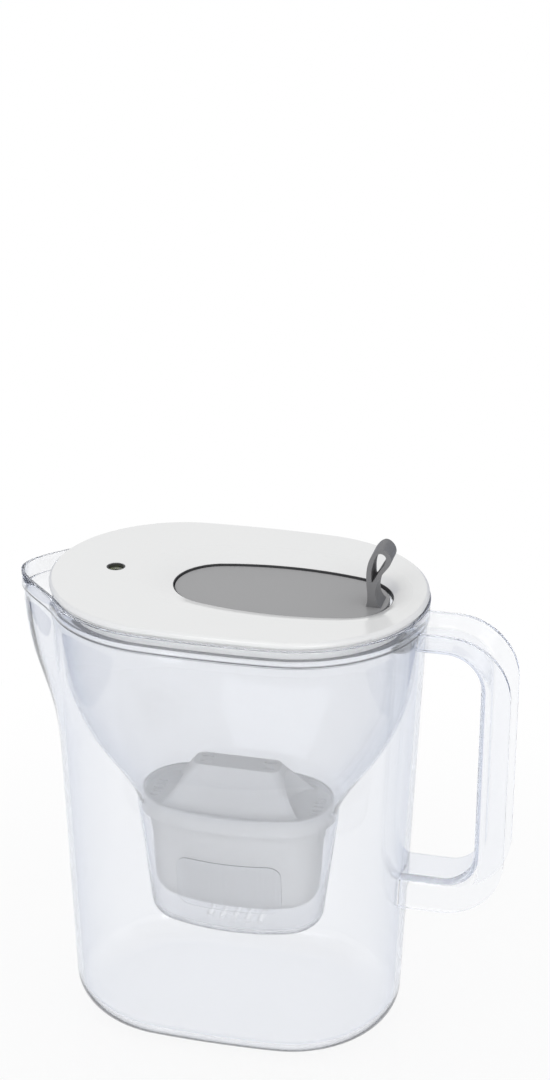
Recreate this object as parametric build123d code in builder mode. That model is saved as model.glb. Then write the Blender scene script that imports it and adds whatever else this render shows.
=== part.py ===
from math import atan2, cos, radians, sin, sqrt, tan
import os

from build123d import *

# Body outline: a four-arc oval that the jug, the funnel lip and the lid share
body_half_length = 100.0
body_half_width = 71.0
body_end_drop = 1.0
body_end_radius = body_half_width - body_end_drop

# Jug
jug_height = 249.0
jug_taper = 2.25
jug_wall = 2.8
jug_floor = 3.5
foot_radius = 18.0
rim_band_height = 9.0
rim_band_wall = 2.0
rim_band_step = 1.2
ledge_level = jug_height - rim_band_height

# Spout: level above the floor, how far the tip of the two straight sides stands beyond the jug's
# end, half width where they meet the jug, and radius of the rounded tip
spout_root_depth = 14.0
spout_root_x = spout_root_depth - body_half_length
spout_wall = 2.6
spout_reach = 2.0
spout_sections = [
    (160.0, -5.0, 33.0, 36.0),
    (175.0, 5.0, 34.0, 30.0),
    (190.0, 13.0, 35.0, 24.0),
    (205.0, 18.5, 36.2, 19.0),
    (225.0, 21.5, 37.5, 15.0),
    (jug_height, 22.6, 39.4, 14.0),
]

# Handle: side outline in the X-Z plane
handle_stand_off = 46.0
handle_reach = body_half_length + handle_stand_off
handle_grip_depth = 16.0
handle_grip_x = handle_reach - handle_grip_depth
handle_top = 240.0
handle_bottom = 79.5
handle_upper_arm = 11.5
handle_lower_arm = 18.5
handle_outer_radius = 33.0
handle_inner_upper_radius = 18.5
handle_inner_lower_radius = 16.0
handle_width = 31.0
handle_wall = 2.6
handle_web = 3.2
handle_grip_rounding = 6.0
handle_root_depth = 30.0
handle_root_x = body_half_length - handle_root_depth

# Funnel
lip_clearance = 0.3
lip_height = 3.0
lip_overhang = 2.4
funnel_wall = 1.8
seat_level = 120.0
neck_bottom = 53.5
neck_taper = 7.0
neck_corner_radius = 9.0
neck_seat_width = 1.6
neck_floor = 2.2
lip_edge_radius = 0.8
flare_start = 4.0
lip_top = ledge_level + lip_height

# Bowl profile: share of the height above the neck, share of the way out to the lip
bowl_shares = [(0.0, 0.0), (0.05, 0.04), (0.11, 0.13), (0.21, 0.31), (0.30, 0.49), (0.39, 0.64),
               (0.48, 0.76), (0.58, 0.86), (0.67, 0.92), (0.78, 0.955), (0.90, 0.98), (1.0, 1.0)]

# Outlet slots in the funnel floor
outlet_slot_length = 16.0
outlet_slot_width = 3.0
outlet_slot_pitch = 7.0
outlet_slot_count = 5

# Bare plate on the front of the neck
neck_plate_length = 57.0
neck_plate_height = 30.5
neck_plate_thickness = 0.6
neck_plate_corner = 7.0
neck_plate_level = 71.5
neck_plate_x = 1.5

# Cartridge
cartridge_half_length = 52.5
cartridge_half_width = 31.0
cartridge_end_drop = 4.0
cartridge_end_radius = cartridge_half_width - cartridge_end_drop
cartridge_clearance = 0.4
cartridge_rim_height = 10.0
cartridge_rim_wall = 2.0
cartridge_rim_rounding = 1.2
tub_inset = 4.9
tub_wall = 1.2
tub_height = 52.5
tub_taper = 3.2
tub_corner_radius = 12.0
tub_flange = 2.0
tub_flange_gap = 0.1
deck_thickness = 1.5
deck_drop = 3.5
hump_height = 17.5
hump_base_length = 79.0
hump_base_width = 44.0
hump_top_length = 47.0
hump_top_width = 14.0
hump_wall = 1.6
hump_corner_radius = 5.0
hump_scoop_radius = 20.0
hump_scoop_x = 46.0
inlet_slot_length = 7.0
inlet_slot_width = 1.6
inlet_slot_span = 34.0
inlet_slot_row = 6.0
deck_slot_x = 44.0
deck_slot_length = 6.0
deck_slot_pitch = 4.0
deck_slot_count = 5
drain_radius = 1.0
drain_pitch = 8.0
drain_columns = 7
drain_rows = 3
mesh_thickness = 0.8
mesh_clearance = 0.1
granulate_gap = 6.0

# Lid
lid_gap = 0.3
lid_thickness = 4.0
lid_edge_inset = 0.7
lid_edge_rounding = 1.9
skirt_inset = 5.0
spigot_clearance = 0.3
spigot_wall = 1.6
spigot_depth = 1.7
lid_bottom = jug_height + lid_gap
lid_top = lid_bottom + lid_thickness

# Filling opening in the lid, between the indicator and the hinge, and the dish round it
indicator_inset = 34.0
opening_start_gap = 31.8
opening_end_gap = 18.6
indicator_x = indicator_inset - body_half_length
opening_start_x = indicator_x + opening_start_gap
opening_end_x = body_half_length - opening_end_gap
opening_half_length = (opening_end_x - opening_start_x) / 2
opening_x = (opening_end_x + opening_start_x) / 2
opening_half_width = 30.0
opening_end_drop = 4.0
opening_end_radius = opening_half_width - opening_end_drop
dish_depth = 3.5
dish_width = 16.0
dish_shift = 5.0
collar_width = 2.2
collar_spread = 6.0
collar_bottom_drop = 3.9
flap_ledge_width = 2.5
flap_ledge_end_gap = 17.4
flap_ledge_end = opening_end_x - flap_ledge_end_gap
dish_rings = ((0.0, 0.0), (0.28, 0.45), (0.62, 0.86), (1.0, 1.0))

# Flap
flap_thickness = 2.2
flap_drop = 1.0
flap_gap = 0.9
flap_hinge_gap = 2.0
flap_edge_rounding = 0.5
flap_top = lid_top - dish_depth - flap_drop
flap_bottom = flap_top - flap_thickness

# Gooseneck arm and its hinge
hinge_end_gap = 8.2
hinge_drop = 6.3
hinge_x = opening_end_x + hinge_end_gap
hinge_z = lid_bottom - hinge_drop
arm_outer_radius = 17.2
arm_inner_radius = 11.7
arm_width = 14.0
arm_bar = 4.4
arm_corner_radius = 3.0
arm_rim = 1.5
arm_recess = 4.0
arm_boss_radius = 2.4
pin_radius = 1.25
pin_running_clearance = 0.06
pin_seat_clearance = 0.02
pin_overhang = 0.4
pin_chamfer = 0.25
bracket_gap = 0.3
bracket_thickness = 1.8
bracket_half_length = 2.6
notch_clearance = 0.4

# Pull strap: outline points measured from the middle of its foot on the flap
strap_hinge_gap = 17.6
strap_x = hinge_x - strap_hinge_gap
strap_width = 14.0
strap_outline_left = [(-3.4, 0.0), (-2.7, 4.0), (-3.0, 9.5), (-3.5, 17.0), (-2.9, 23.1), (-0.2, 29.6)]
strap_outline_right = [(4.0, 32.7), (8.2, 30.0), (9.2, 26.0), (7.0, 21.7), (3.6, 16.6), (2.0, 12.0),
                       (1.8, 4.0), (4.6, 0.0)]
strap_hole = [(-0.7, 14.3), (-0.9, 19.2), (0.4, 25.6), (3.6, 30.0), (6.2, 28.5), (6.2, 25.5), (2.4, 18.8)]

# Filter change indicator
indicator_radius = 16.5
indicator_height = 21.0
indicator_wall = 1.4
indicator_gap = 0.3
indicator_bottom_chamfer = 1.2
ring_height = 4.6
ring_band = 1.6
ring_top_radius = 14.3
ring_wall = 1.0
face_drop = 3.5
face_thickness = 1.2
face_skirt = 0.8
face_slot_length = 15.0
face_slot_width = 6.6
button_length = 8.8
button_width = 4.4
button_flange_length = 9.6
button_flange_width = 8.0
button_flange_thickness = 1.0
button_flange_gap = 0.1
button_rounding = 0.8
button_stand = 1.0
board_thickness = 1.2
board_drop = 7.4
board_clearance = 0.1
board_ledge = 1.0
board_ledge_height = 1.5
switch_side = 4.0
switch_height = 1.9
led_radius = 1.2
led_height = 2.4
led_rounding = 0.8
led_offset = 6.4
base_thickness = 2.0
base_clearance = 0.05
base_boss_radius = 6.0
base_boss_height = 1.2
seal_radius = 0.6
cell_radius = 10.0
cell_height = 3.2
cell_rounding = 0.4
clip_thickness = 0.5
clip_width = 6.0
clip_half_length = 7.0
sensor_spacing = 24.0
sensor_radius = 1.0
sensor_reach = 0.6
socket_wall = 1.5
socket_clearance = 0.3
socket_height = 6.0
button_hole_radius = 4.95
indicator_top = lid_bottom - indicator_gap
indicator_bottom = indicator_top - indicator_height


def oval(level, half_length, half_width, end_radius, inset=0.0, centre_x=0.0):
    """A four-arc oval at a level, moved inwards by inset."""
    length = half_length - inset
    width = half_width - inset
    end = end_radius - inset
    side = ((length - end) ** 2 + width ** 2 - end ** 2) / (2 * (width - end))
    lean = atan2(length - end, side - width)
    join_x = side * sin(lean)
    join_y = side * cos(lean) - (side - width)
    corners = [(join_x, join_y), (join_x, -join_y), (-join_x, -join_y), (-join_x, join_y)]
    middles = [(length, 0), (0, -width), (-length, 0), (0, width)]
    with BuildSketch(Plane.XY.offset(level)) as sketch:
        with BuildLine():
            for index, middle in enumerate(middles):
                start = corners[index]
                finish = corners[(index + 1) % 4]
                ThreePointArc((start[0] + centre_x, start[1]), (middle[0] + centre_x, middle[1]),
                              (finish[0] + centre_x, finish[1]))
        make_face()
    return sketch.sketch


def body_oval(level, inset):
    return oval(level, body_half_length, body_half_width, body_end_radius, inset)


def cartridge_oval(level, inset):
    return oval(level, cartridge_half_length, cartridge_half_width, cartridge_end_radius, inset)


def opening_oval(level, inset, shift=0.0):
    return oval(level, opening_half_length, opening_half_width, opening_end_radius, inset,
                opening_x - shift)


def taper_inset(angle, height):
    """How far a wall that leans by angle moves inwards over height."""
    return height * tan(radians(angle))


def spout_outline(section, inset, reach):
    """One level of the spout: two straight sides and a rounded tip, with its root moved in by reach."""
    level, beyond, half_width, tip_radius = section
    tip_x = -body_half_length - beyond
    half_angle = atan2(half_width, spout_root_x - tip_x)
    tip = tip_x + inset / sin(half_angle)
    side = half_width - inset / cos(half_angle) + reach * tan(half_angle)
    root_x = spout_root_x + reach
    with BuildSketch(Plane.XY.offset(level)) as sketch:
        with BuildLine():
            Polyline((root_x, -side), (tip, 0), (root_x, side), close=True)
        make_face()
        fillet(sketch.vertices().sort_by(Axis.X)[0], tip_radius - inset)
    return sketch.sketch


def export(part, label):
    part.label = label
    export_step(part, f"parts/{label}.step")


os.makedirs("parts", exist_ok=True)

# Jug: outer form, kept whole to trim the handle
foot_inset = rim_band_step + taper_inset(jug_taper, ledge_level)
with BuildPart() as jug_outer:
    extrude(body_oval(0, foot_inset), amount=ledge_level, taper=-jug_taper)
    fillet(jug_outer.edges().group_by(Axis.Z)[0], foot_radius)
    extrude(body_oval(ledge_level, 0), amount=rim_band_height)
    loft([spout_outline(section, 0, 0) for section in spout_sections])

floor_inset = foot_inset + jug_wall - taper_inset(jug_taper, jug_floor)
with BuildPart() as jug_inner:
    extrude(body_oval(jug_floor, floor_inset), amount=ledge_level - jug_floor, taper=-jug_taper)
    fillet(jug_inner.edges().group_by(Axis.Z)[0], foot_radius - jug_wall)
    extrude(body_oval(ledge_level, rim_band_wall), amount=rim_band_height)
    loft([spout_outline(section, spout_wall, spout_reach) for section in spout_sections])

with BuildPart() as jug_shell:
    add(jug_outer.part)
    add(jug_inner.part, mode=Mode.SUBTRACT)
export(jug_shell.part, "jug_shell")

# Handle: a channel that opens away from the jug, trimmed to the jug's outside
upper_arm_level = handle_top - handle_upper_arm
lower_arm_level = handle_bottom + handle_lower_arm
side_plane = Plane.XZ.offset(-handle_width / 2)
channel_plane = Plane.XZ.offset(handle_wall - handle_width / 2)
channel_floor = handle_grip_x + handle_web
channel_bottom = lower_arm_level - handle_web
channel_top = upper_arm_level + handle_web
with BuildPart() as handle_channel:
    with BuildSketch(channel_plane):
        with Locations((handle_reach, (handle_top + handle_bottom) / 2)):
            Rectangle(2 * (handle_reach - handle_root_x), handle_top - handle_bottom + 2 * handle_wall)
    extrude(amount=handle_width - 2 * handle_wall)
    with BuildSketch(channel_plane):
        with BuildLine():
            FilletPolyline((0, channel_bottom), (channel_floor, channel_bottom),
                           (channel_floor, channel_top), (0, channel_top),
                           radius=[handle_inner_lower_radius + handle_web,
                                   handle_inner_upper_radius + handle_web])
            Line((0, channel_top), (0, channel_bottom))
        make_face()
    extrude(amount=handle_width - 2 * handle_wall, mode=Mode.SUBTRACT)

with BuildPart() as jug_handle:
    with BuildSketch(side_plane):
        with BuildLine():
            FilletPolyline((handle_root_x, handle_bottom), (handle_reach, handle_bottom),
                           (handle_reach, handle_top), (handle_root_x, handle_top),
                           radius=handle_outer_radius)
            Line((handle_root_x, handle_top), (handle_root_x, handle_bottom))
        make_face()
    extrude(amount=handle_width)
    with BuildSketch(side_plane):
        with BuildLine():
            FilletPolyline((handle_root_x, lower_arm_level), (handle_grip_x, lower_arm_level),
                           (handle_grip_x, upper_arm_level), (handle_root_x, upper_arm_level),
                           radius=[handle_inner_lower_radius, handle_inner_upper_radius])
            Line((handle_root_x, upper_arm_level), (handle_root_x, lower_arm_level))
        make_face()
    extrude(amount=handle_width, mode=Mode.SUBTRACT)
    grip_edges = [edge for edge in jug_handle.edges(Select.LAST)
                  if abs(abs(edge.center().Y) - handle_width / 2) < 0.01]
    fillet(grip_edges, handle_grip_rounding)
    add(handle_channel.part, mode=Mode.SUBTRACT)
    add(jug_outer.part, mode=Mode.SUBTRACT)
export(jug_handle.part, "jug_handle")

# Funnel: lip, bowl and the neck that holds the cartridge
lip_inset = rim_band_wall + lip_clearance
bowl_inset = lip_inset + lip_overhang
seat_inset = -cartridge_clearance
neck_outer_inset = seat_inset - funnel_wall
neck_top = seat_level + flare_start
neck_depth = seat_level - neck_bottom


def bowl_outline(share, inset):
    """One level of the bowl, from the neck at share 0 to the lip at share 1."""
    level, along = share
    top_length = body_half_length - bowl_inset
    top_width = body_half_width - bowl_inset
    top_end = body_end_radius - bowl_inset
    low_length = cartridge_half_length - neck_outer_inset
    low_width = cartridge_half_width - neck_outer_inset
    low_end = cartridge_end_radius - neck_outer_inset
    return oval(neck_top + level * (ledge_level - neck_top),
                low_length + along * (top_length - low_length),
                low_width + along * (top_width - low_width),
                low_end + along * (top_end - low_end), inset)


with BuildPart() as neck_outer:
    extrude(cartridge_oval(seat_level, neck_outer_inset), amount=-neck_depth, taper=neck_taper)
    fillet(neck_outer.edges().group_by(Axis.Z)[0], neck_corner_radius)
    extrude(cartridge_oval(seat_level, neck_outer_inset), amount=neck_top - seat_level)

pocket_inset = neck_outer_inset + funnel_wall + neck_seat_width
pocket_depth = neck_depth - neck_floor
with BuildPart() as neck_pocket:
    extrude(cartridge_oval(seat_level, pocket_inset), amount=-pocket_depth, taper=neck_taper)
    fillet(neck_pocket.edges().group_by(Axis.Z)[0], neck_corner_radius - funnel_wall)
    extrude(cartridge_oval(seat_level, seat_inset), amount=neck_top - seat_level)

# The neck and the bowl are welded together where the flare starts
with BuildPart() as funnel_neck:
    add(neck_outer.part)
    add(neck_pocket.part, mode=Mode.SUBTRACT)
    with BuildSketch(Plane.XY.offset(neck_bottom)):
        with GridLocations(outlet_slot_pitch, 0, outlet_slot_count, 1):
            SlotOverall(outlet_slot_length, outlet_slot_width, rotation=90)
    extrude(amount=neck_floor, mode=Mode.SUBTRACT)
export(funnel_neck.part, "funnel_neck")

with BuildPart() as funnel_bowl:
    loft([bowl_outline(share, 0) for share in bowl_shares])
    extrude(body_oval(ledge_level, lip_inset), amount=lip_height)
    fillet(funnel_bowl.edges().group_by(Axis.Z)[-1], lip_edge_radius)
    loft([bowl_outline(share, funnel_wall) for share in bowl_shares], mode=Mode.SUBTRACT)
    extrude(body_oval(ledge_level, bowl_inset + funnel_wall), amount=lip_height, mode=Mode.SUBTRACT)
export(funnel_bowl.part, "funnel_bowl")

# Bare plate that follows the front of the neck
with BuildPart() as neck_plate:
    extrude(cartridge_oval(seat_level, neck_outer_inset - neck_plate_thickness), amount=-neck_depth,
            taper=neck_taper)
    with BuildSketch(Plane.XZ):
        with Locations((neck_plate_x, neck_plate_level + neck_plate_height / 2)):
            RectangleRounded(neck_plate_length, neck_plate_height, neck_plate_corner)
    extrude(amount=body_half_width, mode=Mode.INTERSECT)
    add(neck_outer.part, mode=Mode.SUBTRACT)
export(neck_plate.part, "neck_plate")

# Cartridge cap: rim, deck and hollow hump with a finger scoop at each end
rim_top = seat_level + cartridge_rim_height
deck_top = rim_top - deck_drop
deck_bottom = deck_top - deck_thickness
hump_top = rim_top + hump_height


def hump_outline(level, length, width, wall):
    with BuildSketch(Plane.XY.offset(level)) as sketch:
        RectangleRounded(length - 2 * wall, width - 2 * wall, hump_corner_radius - wall)
    return sketch.sketch


with BuildPart() as hump_hollow:
    loft([hump_outline(deck_bottom, hump_base_length, hump_base_width, hump_wall),
          hump_outline(hump_top - hump_wall, hump_top_length, hump_top_width, hump_wall)])
    with Locations((hump_scoop_x, 0, deck_bottom), (-hump_scoop_x, 0, deck_bottom)):
        Cylinder(hump_scoop_radius + hump_wall, 2 * hump_height,
                 align=(Align.CENTER, Align.CENTER, Align.MIN), mode=Mode.SUBTRACT)

with BuildPart() as hump:
    loft([hump_outline(deck_bottom, hump_base_length, hump_base_width, 0),
          hump_outline(hump_top, hump_top_length, hump_top_width, 0)])
    with Locations((hump_scoop_x, 0, deck_top), (-hump_scoop_x, 0, deck_top)):
        Cylinder(hump_scoop_radius, hump_height * 2, align=(Align.CENTER, Align.CENTER, Align.MIN),
                 mode=Mode.SUBTRACT)

with BuildPart() as cartridge_cap:
    extrude(cartridge_oval(seat_level, 0), amount=cartridge_rim_height)
    fillet(cartridge_cap.edges().group_by(Axis.Z)[-1], cartridge_rim_rounding)
    extrude(cartridge_oval(seat_level, cartridge_rim_wall), amount=cartridge_rim_height,
            mode=Mode.SUBTRACT)
    extrude(cartridge_oval(deck_bottom, cartridge_rim_wall), amount=deck_thickness)
    add(hump.part)
    add(hump_hollow.part, mode=Mode.SUBTRACT)
    with BuildSketch(Plane.XY.offset(hump_top)):
        with GridLocations(inlet_slot_span, inlet_slot_row, 2, 2):
            SlotOverall(inlet_slot_length, inlet_slot_width)
    extrude(amount=-hump_wall, mode=Mode.SUBTRACT)
    with BuildSketch(Plane.XY.offset(deck_top)):
        with Locations((deck_slot_x, 0), (-deck_slot_x, 0)):
            with GridLocations(0, deck_slot_pitch, 1, deck_slot_count):
                SlotOverall(deck_slot_length, inlet_slot_width)
    extrude(amount=-deck_thickness, mode=Mode.SUBTRACT)
export(cartridge_cap.part, "cartridge_cap")

# Cartridge tub: tapered cup whose flange closes against the deck
tub_top = deck_bottom
tub_bottom = seat_level - tub_height
tub_depth = seat_level - tub_bottom
with BuildPart() as cartridge_tub:
    extrude(cartridge_oval(seat_level, tub_inset), amount=-tub_depth, taper=tub_taper)
    fillet(cartridge_tub.edges().group_by(Axis.Z)[0], tub_corner_radius)
    extrude(cartridge_oval(seat_level, tub_inset), amount=tub_top - seat_level)
    extrude(cartridge_oval(tub_top - tub_flange, cartridge_rim_wall + tub_flange_gap), amount=tub_flange)
    with BuildPart(mode=Mode.SUBTRACT) as tub_hollow:
        extrude(cartridge_oval(seat_level, tub_inset + tub_wall), amount=tub_wall - tub_depth,
                taper=tub_taper)
        fillet(tub_hollow.edges().group_by(Axis.Z)[0], tub_corner_radius - tub_wall)
        extrude(cartridge_oval(seat_level, tub_inset + tub_wall), amount=tub_top - seat_level)
    with BuildSketch(Plane.XY.offset(tub_bottom)):
        with GridLocations(drain_pitch, drain_pitch, drain_columns, drain_rows):
            Circle(drain_radius)
    extrude(amount=tub_wall, mode=Mode.SUBTRACT)
export(cartridge_tub.part, "cartridge_tub")


def tub_slice(bottom, top, clearance):
    """A solid that fills the tub between two levels below the seat."""
    inset = tub_inset + tub_wall + clearance
    with BuildPart() as fill:
        extrude(cartridge_oval(seat_level, inset), amount=tub_wall - tub_depth, taper=tub_taper)
        fillet(fill.edges().group_by(Axis.Z)[0], tub_corner_radius - tub_wall)
        split(bisect_by=Plane.XY.offset(bottom), keep=Keep.TOP)
        split(bisect_by=Plane.XY.offset(top), keep=Keep.BOTTOM)
    return fill.part


# Filter meshes and the granulate between them
bottom_mesh_bottom = tub_bottom + tub_wall
bottom_mesh_top = bottom_mesh_bottom + mesh_thickness
top_mesh_bottom = seat_level - granulate_gap
top_mesh_top = top_mesh_bottom + mesh_thickness
export(tub_slice(bottom_mesh_bottom, bottom_mesh_top, mesh_clearance), "cartridge_bottom_mesh")
export(tub_slice(bottom_mesh_top, top_mesh_bottom, mesh_clearance), "cartridge_granulate")
export(tub_slice(top_mesh_bottom, top_mesh_top, mesh_clearance), "cartridge_top_mesh")

# Lid cover: bullnosed plate, dished down to the filling opening
collar_bottom = lid_bottom - collar_bottom_drop
opening_edge = lid_top - dish_depth
socket_outer = indicator_radius + socket_clearance + socket_wall
with BuildPart() as lid_cover:
    extrude(body_oval(lid_bottom, lid_edge_inset), amount=lid_thickness)
    fillet(lid_cover.edges().group_by(Axis.Z)[0], lid_edge_rounding)
    fillet(lid_cover.edges().group_by(Axis.Z)[-1], lid_edge_rounding)
    loft([opening_oval(collar_bottom, -collar_width),
          opening_oval(lid_bottom, -collar_width - collar_spread)])
    loft([opening_oval(opening_edge + rise * dish_depth, -spread * dish_width, spread * dish_shift)
          for spread, rise in dish_rings], mode=Mode.SUBTRACT)
    extrude(opening_oval(flap_bottom, 0), amount=lid_top - flap_bottom, mode=Mode.SUBTRACT)
    with BuildSketch(Plane.XY.offset(collar_bottom)):
        add(opening_oval(collar_bottom, flap_ledge_width))
        with Locations((flap_ledge_end, 0)):
            Rectangle(opening_half_length, 2 * opening_half_width, align=(Align.MIN, Align.CENTER))
        add(opening_oval(collar_bottom, 0), mode=Mode.INTERSECT)
    extrude(amount=flap_bottom - collar_bottom, mode=Mode.SUBTRACT)
    with Locations((indicator_x, 0, lid_bottom)):
        Cylinder(button_hole_radius, 2 * lid_thickness, mode=Mode.SUBTRACT)
export(lid_cover.part, "lid_cover")

# Lid frame: seat that rests on the funnel lip and spigot that drops into the funnel
spigot_inset = bowl_inset + funnel_wall + spigot_clearance
frame_inner_inset = spigot_inset + spigot_wall
notch_half_width = arm_width / 2 + bracket_gap + bracket_thickness + pin_overhang + notch_clearance
notch_end_x = hinge_x + arm_bar / 2 + notch_clearance
with BuildPart() as lid_frame:
    extrude(body_oval(lip_top - spigot_depth, spigot_inset), amount=spigot_depth)
    extrude(body_oval(lip_top, skirt_inset), amount=lid_bottom - lip_top)
    extrude(body_oval(lip_top - spigot_depth, frame_inner_inset), amount=lid_bottom - lip_top + spigot_depth,
            mode=Mode.SUBTRACT)
    with Locations((notch_end_x, 0, lid_bottom)):
        Box(2 * frame_inner_inset, 2 * notch_half_width, lid_bottom - lip_top,
            align=(Align.MAX, Align.CENTER, Align.MAX), mode=Mode.SUBTRACT)
    with Locations((body_half_length, 0, lip_top)):
        Box(4 * frame_inner_inset, 2 * notch_half_width, spigot_depth,
            align=(Align.CENTER, Align.CENTER, Align.MAX), mode=Mode.SUBTRACT)
export(lid_frame.part, "lid_frame")

# Socket under the cover that holds the indicator
with BuildPart() as indicator_socket:
    with Locations((indicator_x, 0, lid_bottom - socket_height)):
        Cylinder(socket_outer, socket_height, align=(Align.CENTER, Align.CENTER, Align.MIN))
        Cylinder(socket_outer - socket_wall, socket_height,
                 align=(Align.CENTER, Align.CENTER, Align.MIN), mode=Mode.SUBTRACT)
export(indicator_socket.part, "indicator_socket")

# Hinge brackets either side of the gooseneck arm, and the pin through them
bracket_inner = arm_width / 2 + bracket_gap
for side, label in ((-1, "hinge_bracket_front"), (1, "hinge_bracket_rear")):
    with BuildPart() as bracket:
        with BuildSketch(Plane.XZ.offset(-side * bracket_inner)):
            with Locations((hinge_x, hinge_z)):
                Circle(bracket_half_length)
            with Locations((hinge_x, hinge_z)):
                Rectangle(2 * bracket_half_length, lid_bottom - hinge_z, align=(Align.CENTER, Align.MIN))
        extrude(amount=-side * bracket_thickness)
        add(lid_cover.part, mode=Mode.SUBTRACT)
        with Locations(Plane.XZ.offset(-side * bracket_inner)):
            with Locations((hinge_x, hinge_z)):
                Cylinder(pin_radius + pin_seat_clearance, 4 * bracket_thickness, mode=Mode.SUBTRACT)
    export(bracket.part, label)

pin_half_length = bracket_inner + bracket_thickness + pin_overhang
with BuildPart() as hinge_pin:
    with BuildSketch(Plane.XZ.offset(-pin_half_length)):
        with Locations((hinge_x, hinge_z)):
            Circle(pin_radius)
    extrude(amount=2 * pin_half_length)
    chamfer(hinge_pin.edges(), pin_chamfer)
export(hinge_pin.part, "hinge_pin")

# Filling flap
flap_half_length = opening_half_length - (flap_gap + flap_hinge_gap) / 2
flap_x = opening_x - (flap_hinge_gap - flap_gap) / 2
with BuildPart() as fill_flap:
    extrude(oval(flap_bottom, flap_half_length, opening_half_width - flap_gap,
                 opening_end_radius - flap_gap, 0, flap_x), amount=flap_thickness)
    fillet(fill_flap.edges().group_by(Axis.Z)[-1], flap_edge_rounding)
export(fill_flap.part, "fill_flap")

# Gooseneck arm: quarter ring with a recessed web, closed by an upright bar to the pin boss
with BuildPart() as flap_arm:
    with BuildSketch(Plane.XZ.offset(-arm_width / 2)) as arm_sketch:
        with Locations((hinge_x, hinge_z)):
            Circle(arm_outer_radius)
            Circle(arm_inner_radius, mode=Mode.SUBTRACT)
            Rectangle(2 * arm_outer_radius, 2 * arm_outer_radius, align=(Align.MIN, Align.CENTER),
                      mode=Mode.SUBTRACT)
            Rectangle(arm_bar / 2, 2 * arm_outer_radius, align=(Align.MAX, Align.CENTER),
                      mode=Mode.SUBTRACT)
        with Locations((hinge_x, flap_bottom)):
            Rectangle(4 * arm_outer_radius, 2 * arm_outer_radius, align=(Align.CENTER, Align.MIN),
                      mode=Mode.SUBTRACT)
        with Locations((hinge_x, hinge_z)):
            Rectangle(arm_bar, sqrt(arm_outer_radius ** 2 - (arm_bar / 2) ** 2),
                      align=(Align.CENTER, Align.MAX))
            Circle(arm_boss_radius)
            Circle(pin_radius + pin_running_clearance, mode=Mode.SUBTRACT)
        heel = arm_sketch.vertices().group_by(Axis.Y)[0].sort_by(Axis.X)[-1]
        fillet(heel, arm_corner_radius)
    extrude(amount=arm_width)
    for face_side in (-1, 1):
        with BuildSketch(Plane.XZ.offset(-face_side * arm_width / 2)):
            with Locations((hinge_x, hinge_z)):
                Circle(arm_outer_radius - arm_rim)
                Circle(arm_inner_radius + arm_rim, mode=Mode.SUBTRACT)
                Rectangle(2 * arm_outer_radius, 2 * arm_outer_radius, align=(Align.MIN, Align.CENTER),
                          mode=Mode.SUBTRACT)
                Rectangle(arm_bar / 2, 2 * arm_outer_radius, align=(Align.MAX, Align.CENTER),
                          mode=Mode.SUBTRACT)
            with Locations((hinge_x, flap_bottom - arm_rim)):
                Rectangle(4 * arm_outer_radius, 2 * arm_outer_radius, align=(Align.CENTER, Align.MIN),
                          mode=Mode.SUBTRACT)
        extrude(amount=face_side * arm_recess, mode=Mode.SUBTRACT)
export(flap_arm.part, "flap_arm")


def strap_points(points):
    return [(strap_x + across, flap_top + up) for across, up in points]


# Pull strap: a flat band folded into a leaning loop
with BuildPart() as pull_strap:
    with BuildSketch(Plane.XZ.offset(-strap_width / 2)):
        outline = strap_points(strap_outline_left + strap_outline_right)
        with BuildLine():
            Spline(*outline)
            Line(outline[-1], outline[0])
        make_face()
        with BuildLine():
            Spline(*strap_points(strap_hole), periodic=True)
        make_face(mode=Mode.SUBTRACT)
    extrude(amount=strap_width)
export(pull_strap.part, "pull_strap")


# Indicator: a can that pushes up into the socket, with a ring, a face and a press button
face_bottom = indicator_top - face_drop
can_top = indicator_top - ring_height
board_top = indicator_top - board_drop
board_bottom = board_top - board_thickness
can_bore = indicator_radius - indicator_wall
with BuildPart() as indicator_housing:
    with Locations((indicator_x, 0, indicator_bottom)):
        Cylinder(indicator_radius, can_top - indicator_bottom, align=(Align.CENTER, Align.CENTER, Align.MIN))
    chamfer(indicator_housing.edges().group_by(Axis.Z)[0], indicator_bottom_chamfer)
    with Locations((indicator_x, 0, indicator_bottom)):
        Cylinder(can_bore, can_top - indicator_bottom,
                 align=(Align.CENTER, Align.CENTER, Align.MIN), mode=Mode.SUBTRACT)
    with Locations((indicator_x, 0, board_bottom - board_ledge_height)):
        Cylinder(can_bore, board_ledge_height, align=(Align.CENTER, Align.CENTER, Align.MIN))
        Cylinder(can_bore - board_ledge, board_ledge_height,
                 align=(Align.CENTER, Align.CENTER, Align.MIN), mode=Mode.SUBTRACT)
export(indicator_housing.part, "indicator_housing")

ring_shoulder = can_top + ring_band
with BuildPart() as indicator_ring:
    with BuildSketch(Plane.XZ):
        with BuildLine():
            Polyline((indicator_x, can_top), (indicator_x + indicator_radius, can_top),
                     (indicator_x + indicator_radius, ring_shoulder),
                     (indicator_x + ring_top_radius, indicator_top), (indicator_x, indicator_top), close=True)
        make_face()
    revolve(axis=Axis((indicator_x, 0, 0), (0, 0, 1)))
    with Locations((indicator_x, 0, can_top)):
        Cylinder(ring_top_radius - ring_wall, ring_height, align=(Align.CENTER, Align.CENTER, Align.MIN),
                 mode=Mode.SUBTRACT)
export(indicator_ring.part, "indicator_ring")

with BuildPart() as indicator_face:
    with BuildSketch(Plane.XY.offset(face_bottom)):
        with Locations((indicator_x, 0)):
            Circle(ring_top_radius - ring_wall)
            SlotOverall(face_slot_length, face_slot_width, mode=Mode.SUBTRACT)
    extrude(amount=face_thickness)
    with BuildSketch(Plane.XY.offset(board_top)):
        with Locations((indicator_x, 0)):
            Circle(ring_top_radius - ring_wall)
            Circle(ring_top_radius - ring_wall - face_skirt, mode=Mode.SUBTRACT)
    extrude(amount=face_bottom - board_top)
export(indicator_face.part, "indicator_face")

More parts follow.
